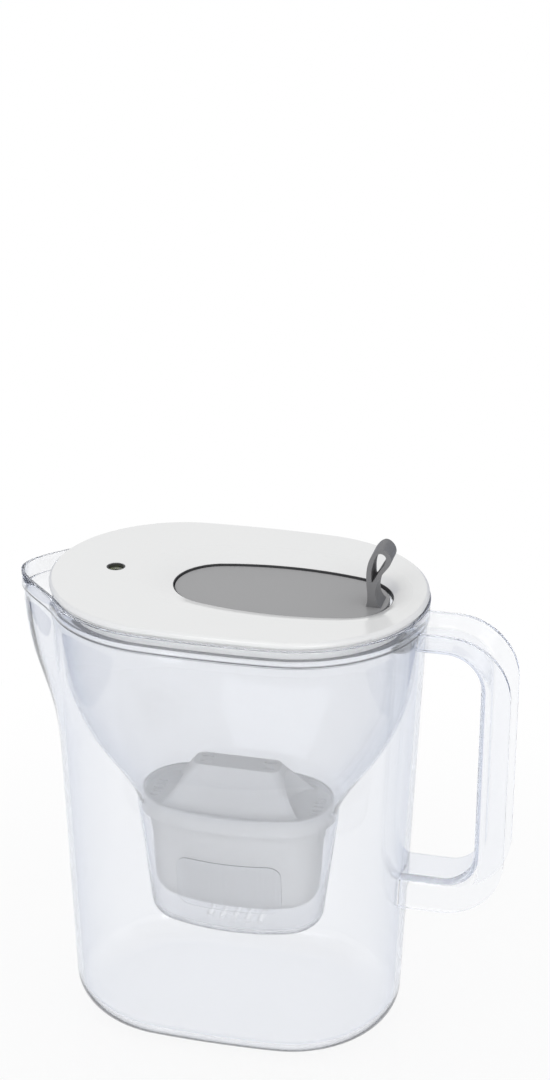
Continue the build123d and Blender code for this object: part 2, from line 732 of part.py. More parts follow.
# Circuit board on the ledge, with the light, the switch and the button above it
with BuildPart() as circuit_board:
    with BuildSketch(Plane.XY.offset(board_bottom)):
        with Locations((indicator_x, 0)):
            Circle(can_bore - board_clearance)
    extrude(amount=board_thickness)
export(circuit_board.part, "circuit_board")

with BuildPart() as tact_switch:
    with Locations((indicator_x, 0, board_top)):
        Box(switch_side, switch_side, switch_height, align=(Align.CENTER, Align.CENTER, Align.MIN))
export(tact_switch.part, "tact_switch")

with BuildPart() as status_led:
    with Locations((indicator_x + led_offset, 0, board_top)):
        Cylinder(led_radius, led_height, align=(Align.CENTER, Align.CENTER, Align.MIN))
    fillet(status_led.edges().group_by(Axis.Z)[-1], led_rounding)
export(status_led.part, "status_led")

button_top = indicator_top + button_stand
flange_top = face_bottom - button_flange_gap
with BuildPart() as reset_button:
    with Locations((indicator_x, 0, button_top)):
        Box(button_length, button_width, button_top - flange_top,
            align=(Align.CENTER, Align.CENTER, Align.MAX))
    fillet(reset_button.edges().filter_by(Axis.Z), button_rounding)
    fillet(reset_button.edges().group_by(Axis.Z)[-1], button_rounding / 2)
    with Locations((indicator_x, 0, flange_top)):
        Box(button_flange_length, button_flange_width, button_flange_thickness,
            align=(Align.CENTER, Align.CENTER, Align.MAX))
export(reset_button.part, "reset_button")

# Bottom cover with its seal, the cell on its boss, the clip over it and the two sensor pins
base_top = indicator_bottom + base_thickness
cell_bottom = base_top + base_boss_height
clip_bottom = cell_bottom + cell_height
with BuildPart() as indicator_base:
    with Locations((indicator_x, 0, indicator_bottom)):
        Cylinder(can_bore - base_clearance, base_thickness, align=(Align.CENTER, Align.CENTER, Align.MIN))
        Cylinder(base_boss_radius, base_thickness + base_boss_height,
                 align=(Align.CENTER, Align.CENTER, Align.MIN))
    with BuildSketch(Plane.XY.offset(indicator_bottom)):
        with Locations((indicator_x, 0)):
            with GridLocations(0, sensor_spacing, 1, 2):
                Circle(sensor_radius)
    extrude(amount=base_thickness, mode=Mode.SUBTRACT)
export(indicator_base.part, "indicator_base")

with BuildPart() as base_seal:
    with BuildSketch(Plane.XZ):
        with Locations((indicator_x + can_bore - base_clearance - seal_radius, base_top + seal_radius)):
            Circle(seal_radius)
    revolve(axis=Axis((indicator_x, 0, 0), (0, 0, 1)))
export(base_seal.part, "base_seal")

with BuildPart() as coin_cell:
    with Locations((indicator_x, 0, cell_bottom)):
        Cylinder(cell_radius, cell_height, align=(Align.CENTER, Align.CENTER, Align.MIN))
    fillet(coin_cell.edges().group_by(Axis.Z)[0], cell_rounding)
export(coin_cell.part, "coin_cell")

with BuildPart() as battery_clip:
    with BuildSketch(Plane.YZ.offset(indicator_x - clip_width / 2)):
        with BuildLine():
            Polyline((-clip_half_length, board_bottom), (-clip_half_length, clip_bottom),
                     (clip_half_length, clip_bottom), (clip_half_length, board_bottom),
                     (clip_half_length - clip_thickness, board_bottom),
                     (clip_half_length - clip_thickness, clip_bottom + clip_thickness),
                     (clip_thickness - clip_half_length, clip_bottom + clip_thickness),
                     (clip_thickness - clip_half_length, board_bottom), close=True)
        make_face()
    extrude(amount=clip_width)
export(battery_clip.part, "battery_clip")

for side, label in ((-1, "sensor_pin_front"), (1, "sensor_pin_rear")):
    with BuildPart() as sensor_pin:
        with Locations((indicator_x, side * sensor_spacing / 2, indicator_bottom - sensor_reach)):
            Cylinder(sensor_radius, board_bottom - indicator_bottom + sensor_reach,
                     align=(Align.CENTER, Align.CENTER, Align.MIN))
    export(sensor_pin.part, label)
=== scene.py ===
import math

import bmesh
import bpy
from mathutils import Matrix, Vector


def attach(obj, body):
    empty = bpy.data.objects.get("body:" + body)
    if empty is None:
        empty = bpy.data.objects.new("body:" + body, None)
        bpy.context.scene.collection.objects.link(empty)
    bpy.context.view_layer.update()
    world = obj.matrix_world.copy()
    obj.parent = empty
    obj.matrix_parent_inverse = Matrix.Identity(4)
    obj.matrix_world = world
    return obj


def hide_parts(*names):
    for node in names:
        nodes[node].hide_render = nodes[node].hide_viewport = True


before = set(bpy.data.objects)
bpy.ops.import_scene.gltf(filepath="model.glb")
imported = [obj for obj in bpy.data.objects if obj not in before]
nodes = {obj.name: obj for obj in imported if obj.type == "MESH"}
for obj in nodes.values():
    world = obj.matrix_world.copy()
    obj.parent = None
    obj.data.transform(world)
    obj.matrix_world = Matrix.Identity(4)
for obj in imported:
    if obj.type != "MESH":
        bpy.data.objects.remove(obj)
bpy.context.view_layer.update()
mm = 0.001
sharpAngle = 32.0  # degrees: edges that turn by more than this stay crisp
weldGap = 0.002 * mm  # points closer than this are one
print("frame loaded:", len(nodes), "nodes")

# Camera of the photograph, which is 550 pixels wide and 1080 high
photoView = {
    "frameWidth": 550.0,
    "frameHeight": 1080.0,
    "focalPixels": 2546.7,
    "axisX": 238.45,  # pixel where the lens axis meets the photograph
    "axisY": 513.69,
    "place": (0.2979, -1.1599, 0.7967),
    "right": (0.9686, 0.2487, 0.0),
    "forward": (-0.2291, 0.8920, -0.3896),
    "sensorWidth": 36.0,  # in millimetres
    "clipStart": 0.05,
    "clipEnd": 30.0,
}


def addCamera(view):
    right = Vector(view["right"]).normalized()
    forward = Vector(view["forward"]).normalized()
    up = right.cross(forward)
    aimX = (view["frameWidth"] / 2 - view["axisX"]) / view["focalPixels"]
    aimY = (view["axisY"] - view["frameHeight"] / 2) / view["focalPixels"]
    aim = (forward + aimX * right + aimY * up).normalized()
    across = (right - aim * right.dot(aim)).normalized()
    above = across.cross(aim)
    data = bpy.data.cameras.new("photoCamera")
    data.sensor_width = view["sensorWidth"]
    data.lens = data.sensor_width * view["focalPixels"] / view["frameHeight"]
    data.clip_start = view["clipStart"]
    data.clip_end = view["clipEnd"]
    camera = bpy.data.objects.new("photoCamera", data)
    bpy.context.scene.collection.objects.link(camera)
    turn = Matrix((across, above, -aim)).transposed().to_4x4()
    camera.matrix_world = Matrix.Translation(view["place"]) @ turn
    bpy.context.scene.camera = camera


addCamera(photoView)
bpy.context.scene.view_settings.view_transform = "Standard"
print("camera set")


# Studio: a white sweep, a large soft lamp in front on the left and a weaker, lower one on the right
studio = {
    "backdropColour": (1.0, 1.0, 1.0, 1.0),
    "skyStrength": 0.84,
    "floorSize": 16.0,
    "floorGap": 0.0003,  # keeps the clear foot off the floor's own plane
    "floorColour": (0.86, 0.87, 0.88, 1.0),
    "floorRoughness": 0.12,
    "shadowReach": 0.16,  # out to here the floor keeps its shadow
    "whiteReach": 0.42,  # and from here on it is plain white
    "nearWhite": 0.88,
    "keyPlace": (-0.6, -1.6, 1.35),
    "keySize": 1.1,
    "keyPower": 5.2,
    "fillPlace": (0.9, -1.7, 0.35),
    "fillSize": 0.8,
    "fillPower": 4.5,
    "flagColour": (0.20, 0.24, 0.40, 1.0),
    "flagRoughness": 0.9,
    "flagDistance": 0.42,
    "flagBack": 0.35,
    "flagSize": 2.0,
    "bounces": 24,
    "aim": (0.0, 0.0, 0.25),
}


def addLamp(name, place, size, power, aim):
    data = bpy.data.lights.new(name, "AREA")
    data.shape = "SQUARE"
    data.size = size
    data.energy = power
    lamp = bpy.data.objects.new(name, data)
    bpy.context.scene.collection.objects.link(lamp)
    lamp.location = place
    lamp.rotation_euler = (Vector(aim) - Vector(place)).to_track_quat("-Z", "Y").to_euler()


# Square sheet of the set, put in its place by a matrix
def addSheet(name, size, place):
    shape = bmesh.new()
    bmesh.ops.create_grid(shape, x_segments=1, y_segments=1, size=size / 2)
    mesh = bpy.data.meshes.new(name)
    shape.to_mesh(mesh)
    shape.free()
    mesh.transform(place)
    sheet = bpy.data.objects.new(name, mesh)
    bpy.context.scene.collection.objects.link(sheet)
    return sheet


# 1 for camera, glossy and transmission rays, 0 for the rays that light the object
def seenDirectly(tree):
    links = tree.links
    path = tree.nodes.new("ShaderNodeLightPath")
    shiny = tree.nodes.new("ShaderNodeMath")
    shiny.operation = "MAXIMUM"
    links.new(path.outputs["Is Camera Ray"], shiny.inputs[0])
    links.new(path.outputs["Is Glossy Ray"], shiny.inputs[1])
    seen = tree.nodes.new("ShaderNodeMath")
    seen.operation = "MAXIMUM"
    links.new(shiny.outputs[0], seen.inputs[0])
    links.new(path.outputs["Is Transmission Ray"], seen.inputs[1])
    return seen.outputs[0]


def addStudio(setup):
    world = bpy.data.worlds.new("studioSky")
    bpy.context.scene.world = world
    world.use_nodes = True
    tree = world.node_tree
    sky = tree.nodes["Background"]
    sky.inputs["Color"].default_value = setup["backdropColour"]
    sky.inputs["Strength"].default_value = setup["skyStrength"]
    shown = tree.nodes.new("ShaderNodeBackground")
    shown.inputs["Color"].default_value = setup["backdropColour"]
    shown.inputs["Strength"].default_value = 1.0
    mix = tree.nodes.new("ShaderNodeMixShader")
    tree.links.new(seenDirectly(tree), mix.inputs["Fac"])
    tree.links.new(sky.outputs[0], mix.inputs[1])
    tree.links.new(shown.outputs[0], mix.inputs[2])
    tree.links.new(mix.outputs[0], tree.nodes["World Output"].inputs["Surface"])
    addLamp("keyLamp", setup["keyPlace"], setup["keySize"], setup["keyPower"], setup["aim"])
    addLamp("fillLamp", setup["fillPlace"], setup["fillSize"], setup["fillPower"], setup["aim"])

    floor = addSheet("studioFloor", setup["floorSize"], Matrix.Translation((0.0, 0.0, -setup["floorGap"])))
    bpy.context.scene.cycles.max_bounces = setup["bounces"]
    bpy.context.scene.cycles.transmission_bounces = setup["bounces"]
    bpy.context.scene.cycles.glossy_bounces = setup["bounces"] // 2
    return floor


# Dark card beside the object, as photographers use to draw the edges of clear plastic. It is seen in
# reflections alone.
def addFlag(name, side, setup, view):
    right = Vector(view["right"]).normalized()
    back = Vector((-right.y, right.x, 0.0))
    turn = Matrix((back, (0.0, 0.0, 1.0), right)).transposed().to_4x4()
    centre = side * setup["flagDistance"] * right + setup["flagBack"] * back
    centre.z = setup["flagSize"] / 2
    flag = addSheet(name, setup["flagSize"], Matrix.Translation(centre) @ turn)
    flag.visible_camera = False
    flag.visible_diffuse = False
    flag.visible_transmission = False
    flag.visible_shadow = False
    return flag


studioFloor = addStudio(studio)
flags = [addFlag("flagLeft", -1, studio, photoView), addFlag("flagRight", 1, studio, photoView)]
print("studio set")


# Shader groups that several materials share
def newGroup(name, inputs, outputs):
    group = bpy.data.node_groups.new(name, "ShaderNodeTree")
    for label, kind, value in inputs:
        socket = group.interface.new_socket(name=label, in_out="INPUT", socket_type=kind)
        socket.default_value = value
    for label, kind in outputs:
        group.interface.new_socket(name=label, in_out="OUTPUT", socket_type=kind)
    start = group.nodes.new("NodeGroupInput")
    end = group.nodes.new("NodeGroupOutput")
    return group, start, end


# Fine surface of moulded plastic: slight colour drift, roughness patches and a low bump.
def makeMouldedGroup():
    group, start, end = newGroup(
        "mouldedSurface",
        [("Colour", "NodeSocketColor", (0.8, 0.8, 0.8, 1)), ("Roughness", "NodeSocketFloat", 0.3),
         ("Grain", "NodeSocketFloat", 900.0), ("Drift", "NodeSocketFloat", 0.04),
         ("Patches", "NodeSocketFloat", 0.06)],
        [("Colour", "NodeSocketColor"), ("Roughness", "NodeSocketFloat"), ("Height", "NodeSocketFloat")])
    links = group.links
    place = group.nodes.new("ShaderNodeTexCoord")
    cloud = group.nodes.new("ShaderNodeTexNoise")
    cloud.inputs["Scale"].default_value = 14.0
    cloud.inputs["Detail"].default_value = 3.0
    links.new(place.outputs["Object"], cloud.inputs["Vector"])
    grain = group.nodes.new("ShaderNodeTexNoise")
    grain.inputs["Detail"].default_value = 2.0
    links.new(place.outputs["Object"], grain.inputs["Vector"])
    links.new(start.outputs["Grain"], grain.inputs["Scale"])
    centred = group.nodes.new("ShaderNodeMath")
    centred.operation = "SUBTRACT"
    centred.inputs[1].default_value = 0.5
    links.new(cloud.outputs["Fac"], centred.inputs[0])
    drift = group.nodes.new("ShaderNodeMath")
    drift.operation = "MULTIPLY_ADD"
    drift.inputs[2].default_value = 1.0
    links.new(centred.outputs[0], drift.inputs[0])
    links.new(start.outputs["Drift"], drift.inputs[1])
    tone = group.nodes.new("ShaderNodeHueSaturation")
    links.new(drift.outputs[0], tone.inputs["Value"])
    links.new(start.outputs["Colour"], tone.inputs["Color"])
    rough = group.nodes.new("ShaderNodeMath")
    rough.operation = "MULTIPLY_ADD"
    links.new(centred.outputs[0], rough.inputs[0])
    links.new(start.outputs["Patches"], rough.inputs[1])
    links.new(start.outputs["Roughness"], rough.inputs[2])
    links.new(tone.outputs["Color"], end.inputs["Colour"])
    links.new(rough.outputs[0], end.inputs["Roughness"])
    links.new(grain.outputs["Fac"], end.inputs["Height"])
    return group


mouldedGroup = makeMouldedGroup()


# Square weave of a filter mesh: 1 on a thread, 0 in a hole, with the threads' height
def makeWeaveGroup():
    group, start, end = newGroup(
        "filterWeave",
        [("Threads", "NodeSocketFloat", 900.0), ("Open", "NodeSocketFloat", 0.35)],
        [("Thread", "NodeSocketFloat"), ("Height", "NodeSocketFloat")])
    links = group.links
    place = group.nodes.new("ShaderNodeTexCoord")
    heights = []
    for direction in ("X", "Y"):
        wave = group.nodes.new("ShaderNodeTexWave")
        wave.bands_direction = direction
        wave.inputs["Distortion"].default_value = 0.0
        links.new(place.outputs["Object"], wave.inputs["Vector"])
        links.new(start.outputs["Threads"], wave.inputs["Scale"])
        heights.append(wave.outputs["Fac"])
    top = group.nodes.new("ShaderNodeMath")
    top.operation = "MAXIMUM"
    links.new(heights[0], top.inputs[0])
    links.new(heights[1], top.inputs[1])
    thread = group.nodes.new("ShaderNodeMath")
    thread.operation = "GREATER_THAN"
    links.new(top.outputs[0], thread.inputs[0])
    links.new(start.outputs["Open"], thread.inputs[1])
    links.new(thread.outputs[0], end.inputs["Thread"])
    links.new(top.outputs[0], end.inputs["Height"])
    return group


# Loose grains: a cell colour between two tones and a rounded height for each grain
def makeGrainsGroup():
    group, start, end = newGroup(
        "looseGrains",
        [("Dark", "NodeSocketColor", (0.02, 0.02, 0.02, 1)), ("Pale", "NodeSocketColor", (0.7, 0.6, 0.4, 1)),
         ("Grains", "NodeSocketFloat", 900.0), ("Share", "NodeSocketFloat", 0.5)],
        [("Colour", "NodeSocketColor"), ("Height", "NodeSocketFloat")])
    links = group.links
    place = group.nodes.new("ShaderNodeTexCoord")
    cells = group.nodes.new("ShaderNodeTexVoronoi")
    links.new(place.outputs["Object"], cells.inputs["Vector"])
    links.new(start.outputs["Grains"], cells.inputs["Scale"])
    split = group.nodes.new("ShaderNodeSeparateColor")
    links.new(cells.outputs["Color"], split.inputs[0])
    pick = group.nodes.new("ShaderNodeMath")
    pick.operation = "LESS_THAN"
    links.new(split.outputs[0], pick.inputs[0])
    links.new(start.outputs["Share"], pick.inputs[1])
    mix = group.nodes.new("ShaderNodeMix")
    mix.data_type = "RGBA"
    links.new(pick.outputs[0], mix.inputs["Factor"])
    links.new(start.outputs["Dark"], mix.inputs[6])
    links.new(start.outputs["Pale"], mix.inputs[7])
    dome = group.nodes.new("ShaderNodeMath")
    dome.operation = "SUBTRACT"
    dome.inputs[0].default_value = 1.0
    links.new(cells.outputs["Distance"], dome.inputs[1])
    links.new(mix.outputs[2], end.inputs["Colour"])
    links.new(dome.outputs[0], end.inputs["Height"])
    return group


# Drawn or brushed metal: long scratches along one axis
def makeBrushedGroup():
    group, start, end = newGroup(
        "brushedMetal",
        [("Colour", "NodeSocketColor", (0.6, 0.6, 0.6, 1)), ("Roughness", "NodeSocketFloat", 0.3),
         ("Stretch", "NodeSocketVector", (60.0, 60.0, 2500.0))],
        [("Colour", "NodeSocketColor"), ("Roughness", "NodeSocketFloat"), ("Height", "NodeSocketFloat")])
    links = group.links
    place = group.nodes.new("ShaderNodeTexCoord")
    mapping = group.nodes.new("ShaderNodeMapping")
    links.new(place.outputs["Object"], mapping.inputs["Vector"])
    links.new(start.outputs["Stretch"], mapping.inputs["Scale"])
    lines = group.nodes.new("ShaderNodeTexNoise")
    lines.inputs["Scale"].default_value = 1.0
    links.new(mapping.outputs["Vector"], lines.inputs["Vector"])
    spread = group.nodes.new("ShaderNodeMapRange")
    spread.inputs["To Min"].default_value = 0.85
    spread.inputs["To Max"].default_value = 1.15
    links.new(lines.outputs["Fac"], spread.inputs["Value"])
    tone = group.nodes.new("ShaderNodeHueSaturation")
    links.new(start.outputs["Colour"], tone.inputs["Color"])
    links.new(spread.outputs["Result"], tone.inputs["Value"])
    rough = group.nodes.new("ShaderNodeMath")
    rough.operation = "MULTIPLY"
    links.new(spread.outputs["Result"], rough.inputs[0])
    links.new(start.outputs["Roughness"], rough.inputs[1])
    links.new(tone.outputs["Color"], end.inputs["Colour"])
    links.new(rough.outputs[0], end.inputs["Roughness"])
    links.new(lines.outputs["Fac"], end.inputs["Height"])
    return group


weaveGroup = makeWeaveGroup()
grainsGroup = makeGrainsGroup()
brushedGroup = makeBrushedGroup()


def newMaterial(name):
    material = bpy.data.materials.new(name)
    material.use_nodes = True
    tree = material.node_tree
    return material, tree, tree.nodes["Principled BSDF"]


def addBump(tree, surface, height, strength, distance):
    bump = tree.nodes.new("ShaderNodeBump")
    bump.inputs["Strength"].default_value = strength
    bump.inputs["Distance"].default_value = distance
    tree.links.new(height, bump.inputs["Height"])
    tree.links.new(bump.outputs["Normal"], surface.inputs["Normal"])


# Opaque moulded plastic, with the wax-like depth of a white moulding where glow is above 0.
def mouldedPlastic(name, colour, roughness, grain=900.0, bump=0.05, drift=0.03, coat=0.0, ior=1.5,
                   coatRoughness=0.06, glow=0.0, glowReach=4.0 * mm):
    material, tree, surface = newMaterial(name)
    moulded = tree.nodes.new("ShaderNodeGroup")
    moulded.node_tree = mouldedGroup
    moulded.inputs["Colour"].default_value = (*colour, 1.0)
    moulded.inputs["Roughness"].default_value = roughness
    moulded.inputs["Grain"].default_value = grain
    moulded.inputs["Drift"].default_value = drift
    tree.links.new(moulded.outputs["Colour"], surface.inputs["Base Color"])
    tree.links.new(moulded.outputs["Roughness"], surface.inputs["Roughness"])
    addBump(tree, surface, moulded.outputs["Height"], bump, 0.1 * mm)
    surface.inputs["IOR"].default_value = ior
    surface.inputs["Coat Weight"].default_value = coat
    surface.inputs["Coat Roughness"].default_value = coatRoughness
    surface.inputs["Subsurface Weight"].default_value = glow
    surface.inputs["Subsurface Radius"].default_value = (glowReach, glowReach, glowReach)
    return material


# Clear plastic's colour face on and at a grazing angle: painted blue-grey shade towards the edges, standing
# in for the dark edges that reflection and refraction give
paintedEdgeShade = {
    "faceOn": (0.988, 0.992, 1.0, 1.0),
    "grazing": (0.50, 0.57, 0.72, 1.0),
    "narrowing": 3.0,
}


# Clear plastic with a faint body tint: depth is the absorption in 1/m, and haze the share of
# light that the surface scatters.
def clearPlastic(name, tint, depth, roughness=0.02, ior=1.49, haze=0.0):
    material, tree, surface = newMaterial(name)
    # Painted shade: the base colour darkens to blue-grey as the surface turns away from the view
    grazing = tree.nodes.new("ShaderNodeLayerWeight")
    grazing.inputs["Blend"].default_value = 0.5
    narrow = tree.nodes.new("ShaderNodeMath")
    narrow.operation = "POWER"
    narrow.inputs[1].default_value = paintedEdgeShade["narrowing"]
    tree.links.new(grazing.outputs["Facing"], narrow.inputs[0])
    edgeShadeMix = tree.nodes.new("ShaderNodeMix")
    edgeShadeMix.data_type = "RGBA"
    edgeShadeMix.inputs[6].default_value = paintedEdgeShade["faceOn"]
    edgeShadeMix.inputs[7].default_value = paintedEdgeShade["grazing"]
    tree.links.new(narrow.outputs[0], edgeShadeMix.inputs["Factor"])
    tree.links.new(edgeShadeMix.outputs[2], surface.inputs["Base Color"])
    surface.inputs["Transmission Weight"].default_value = 1.0 - haze
    surface.inputs["Roughness"].default_value = roughness
    surface.inputs["IOR"].default_value = ior
    inside = tree.nodes.new("ShaderNodeVolumeAbsorption")
    inside.inputs["Color"].default_value = (*tint, 1.0)
    inside.inputs["Density"].default_value = depth
    tree.links.new(inside.outputs["Volume"], tree.nodes["Material Output"].inputs["Volume"])
    return material


# Roughness that changes between two heights of the part, as from a frosted neck to a polished bowl
def fadeRoughness(material, fade):
    tree = material.node_tree
    place = tree.nodes.new("ShaderNodeTexCoord")
    split = tree.nodes.new("ShaderNodeSeparateXYZ")
    tree.links.new(place.outputs["Object"], split.inputs[0])
    spread = tree.nodes.new("ShaderNodeMapRange")
    spread.interpolation_type = "SMOOTHSTEP"
    spread.inputs["From Min"].default_value = fade["lowLevel"]
    spread.inputs["From Max"].default_value = fade["highLevel"]
    spread.inputs["To Min"].default_value = fade["lowRoughness"]
    spread.inputs["To Max"].default_value = fade["highRoughness"]
    tree.links.new(split.outputs["Z"], spread.inputs["Value"])
    tree.links.new(spread.outputs["Result"], tree.nodes["Principled BSDF"].inputs["Roughness"])


# Woven mesh, seen through between its threads
def filterMesh(name, colour, threads, roughness=0.6, bump=0.6):
    material, tree, surface = newMaterial(name)
    weave = tree.nodes.new("ShaderNodeGroup")
    weave.node_tree = weaveGroup
    weave.inputs["Threads"].default_value = threads
    tree.links.new(weave.outputs["Thread"], surface.inputs["Alpha"])
    addBump(tree, surface, weave.outputs["Height"], bump, 0.3 * mm)
    surface.inputs["Base Color"].default_value = (*colour, 1.0)
    surface.inputs["Roughness"].default_value = roughness
    return material


def looseGrains(name, dark, pale, grains, share, roughness=0.7, bump=0.8):
    material, tree, surface = newMaterial(name)
    filling = tree.nodes.new("ShaderNodeGroup")
    filling.node_tree = grainsGroup
    filling.inputs["Dark"].default_value = (*dark, 1.0)
    filling.inputs["Pale"].default_value = (*pale, 1.0)
    filling.inputs["Grains"].default_value = grains
    filling.inputs["Share"].default_value = share
    tree.links.new(filling.outputs["Colour"], surface.inputs["Base Color"])
    addBump(tree, surface, filling.outputs["Height"], bump, 0.6 * mm)
    surface.inputs["Roughness"].default_value = roughness
    return material


def brushedMetal(name, colour, roughness, stretch, bump=0.08):
    material, tree, surface = newMaterial(name)
    brushed = tree.nodes.new("ShaderNodeGroup")
    brushed.node_tree = brushedGroup
    brushed.inputs["Colour"].default_value = (*colour, 1.0)
    brushed.inputs["Roughness"].default_value = roughness
    brushed.inputs["Stretch"].default_value = stretch
    tree.links.new(brushed.outputs["Colour"], surface.inputs["Base Color"])
    tree.links.new(brushed.outputs["Roughness"], surface.inputs["Roughness"])
    addBump(tree, surface, brushed.outputs["Height"], bump, 0.1 * mm)
    surface.inputs["Metallic"].default_value = 1.0
    return material


bodyTint = (0.34, 0.46, 0.74)

# Every look with the function that makes it and the values that set it apart
lookTable = {
    "clearJug": (clearPlastic, {"tint": bodyTint, "depth": 9.0, "haze": 0.03}),
    "clearFunnel": (clearPlastic, {"tint": bodyTint, "depth": 5.0, "haze": 0.06}),
    "windowPlate": (clearPlastic, {"tint": bodyTint, "depth": 1.0, "roughness": 0.06}),
    "ledClear": (clearPlastic, {"tint": (0.75, 0.95, 0.45), "depth": 300.0, "roughness": 0.12, "ior": 1.53}),
    "lidWhite": (mouldedPlastic, {"colour": (0.86, 0.865, 0.865), "roughness": 0.16, "coat": 0.3}),
    "flapGrey": (mouldedPlastic, {"colour": (0.34, 0.34, 0.345), "roughness": 0.35}),
    "strapRubber": (mouldedPlastic, {"colour": (0.20, 0.20, 0.205), "roughness": 0.55, "grain": 1600.0,
                                     "bump": 0.15}),
    "armGrey": (mouldedPlastic, {"colour": (0.42, 0.43, 0.45), "roughness": 0.3}),
    "cartridgeWhite": (mouldedPlastic, {"colour": (0.93, 0.935, 0.94), "roughness": 0.38, "glow": 0.3}),
    "indicatorWhite": (mouldedPlastic, {"colour": (0.88, 0.88, 0.89), "roughness": 0.22}),
    "buttonLime": (mouldedPlastic, {"colour": (0.60, 0.78, 0.03), "roughness": 0.3}),
    "boardGreen": (mouldedPlastic, {"colour": (0.012, 0.09, 0.035), "roughness": 0.3, "grain": 2400.0,
                                    "bump": 0.2, "coat": 0.4}),
    "switchBlack": (mouldedPlastic, {"colour": (0.02, 0.02, 0.02), "roughness": 0.45, "grain": 1800.0}),
    "sealRubber": (mouldedPlastic, {"colour": (0.025, 0.025, 0.027), "roughness": 0.6, "grain": 1800.0,
                                    "bump": 0.15}),
    # Near-black colour for the painted shade in gaps and holes
    "gapShadeBlack": (mouldedPlastic, {"colour": (0.06, 0.06, 0.062), "roughness": 0.6, "grain": 1800.0}),
    "meshWhite": (filterMesh, {"colour": (0.85, 0.85, 0.85), "threads": 500.0}),
    "granulateMix": (looseGrains, {"dark": (0.015, 0.015, 0.016), "pale": (0.62, 0.50, 0.30),
                                   "grains": 1100.0, "share": 0.55}),
    "pinSteel": (brushedMetal, {"colour": (0.62, 0.62, 0.63), "roughness": 0.28,
                                "stretch": (2500.0, 60.0, 2500.0)}),
    "cellSteel": (brushedMetal, {"colour": (0.66, 0.66, 0.67), "roughness": 0.25,
                                 "stretch": (60.0, 2500.0, 2500.0)}),
    "clipBronze": (brushedMetal, {"colour": (0.64, 0.52, 0.34), "roughness": 0.3,
                                  "stretch": (2500.0, 60.0, 2500.0)}),
}
looks = {name: make(name, **values) for name, (make, values) in lookTable.items()}

neckFade = {
    "lowLevel": 60.0 * mm,
    "lowRoughness": 0.16,
    "highLevel": 105.0 * mm,
    "highRoughness": 0.02,
}
fadeRoughness(looks["clearFunnel"], neckFade)
print("looks made:", len(looks))


# Glossy white floor that keeps a soft shadow near the object and goes over to plain white further out.
def paleFloor(setup):
    material, tree, surface = newMaterial("floorWhite")
    links = tree.links
    surface.inputs["Base Color"].default_value = setup["floorColour"]
    surface.inputs["Roughness"].default_value = setup["floorRoughness"]
    place = tree.nodes.new("ShaderNodeTexCoord")
    reach = tree.nodes.new("ShaderNodeVectorMath")
    reach.operation = "LENGTH"
    links.new(place.outputs["Object"], reach.inputs[0])
    away = tree.nodes.new("ShaderNodeMapRange")
    away.interpolation_type = "SMOOTHSTEP"
    away.inputs["From Min"].default_value = setup["shadowReach"]
    away.inputs["From Max"].default_value = setup["whiteReach"]
    away.inputs["To Min"].default_value = setup["nearWhite"]
    links.new(reach.outputs["Value"], away.inputs["Value"])
    share = tree.nodes.new("ShaderNodeMath")
    share.operation = "MULTIPLY"
    links.new(away.outputs["Result"], share.inputs[0])
    links.new(seenDirectly(tree), share.inputs[1])
    white = tree.nodes.new("ShaderNodeEmission")
    white.inputs["Color"].default_value = setup["backdropColour"]
    white.inputs["Strength"].default_value = 1.0
    mix = tree.nodes.new("ShaderNodeMixShader")
    links.new(share.outputs[0], mix.inputs["Fac"])
    links.new(surface.outputs[0], mix.inputs[1])
    links.new(white.outputs[0], mix.inputs[2])
    links.new(mix.outputs[0], tree.nodes["Material Output"].inputs["Surface"])
    return material


def flagCloth(setup):
    material, _, surface = newMaterial("flagCloth")
    surface.inputs["Base Color"].default_value = setup["flagColour"]
    surface.inputs["Roughness"].default_value = setup["flagRoughness"]
    return material


studioFloor.data.materials.append(paleFloor(studio))
darkCloth = flagCloth(studio)
for flag in flags:
    flag.data.materials.append(darkCloth)


# Object of a mesh, with smooth normals but for its sharp edges
def addObject(name, mesh):
    mesh.shade_smooth()
    mesh.set_sharp_from_angle(angle=math.radians(sharpAngle))
    piece = bpy.data.objects.new(name, mesh)
    bpy.context.scene.collection.objects.link(piece)
    return piece


# Copy of a CAD node with its points merged, its flat faces joined and its edges rounded by a radius
def refine(name, body, material, radius, segments=3, flat=0.6):
    mesh = nodes[name].data.copy()
    mesh.materials.clear()
    mesh.materials.append(material)
    shape = bmesh.new()
    shape.from_mesh(mesh)
    bmesh.ops.remove_doubles(shape, verts=shape.verts, dist=weldGap)
    bmesh.ops.dissolve_limit(shape, angle_limit=math.radians(flat), verts=shape.verts, edges=shape.edges)
    shape.to_mesh(mesh)
    shape.free()
    mesh.attributes.remove(mesh.attributes["custom_normal"])
    words = name.split("_")
    piece = addObject(words[0] + "".join(word.capitalize() for word in words[1:]), mesh)
    bevel = piece.modifiers.new("roundedEdges", "BEVEL")
    bevel.limit_method = "ANGLE"
    bevel.angle_limit = math.radians(sharpAngle)
    bevel.width = radius
    bevel.segments = segments
    bevel.harden_normals = True
    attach(piece, body)
    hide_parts(name)


# An oval of four arcs that passes through (length, 0) and (0, width), with end arcs of radius end.
# Its points are counted from one side arc's start, steps to an arc.
def ovalPoint(oval, count, steps):
    length, width, end = oval
    side = ((length - end) ** 2 + width ** 2 - end ** 2) / (2 * (width - end))
    lean = math.atan2(length - end, side - width)
    arc, step = divmod(count, steps)
    halfTurn = lean if arc % 2 else math.pi / 2 - lean
    angle = arc * math.pi / 2 + halfTurn * (2.0 * step / steps - 1.0)
    radius = side if arc % 2 else end
    centre = ((length - end, 0.0), (0.0, width - side), (end - length, 0.0), (0.0, side - width))[arc]
    return centre[0] + radius * math.cos(angle), centre[1] + radius * math.sin(angle)


def insetOval(oval, inset):
    return tuple(value - inset for value in oval)


def blendOval(low, high, share):
    return tuple(a + share * (b - a) for a, b in zip(low, high))


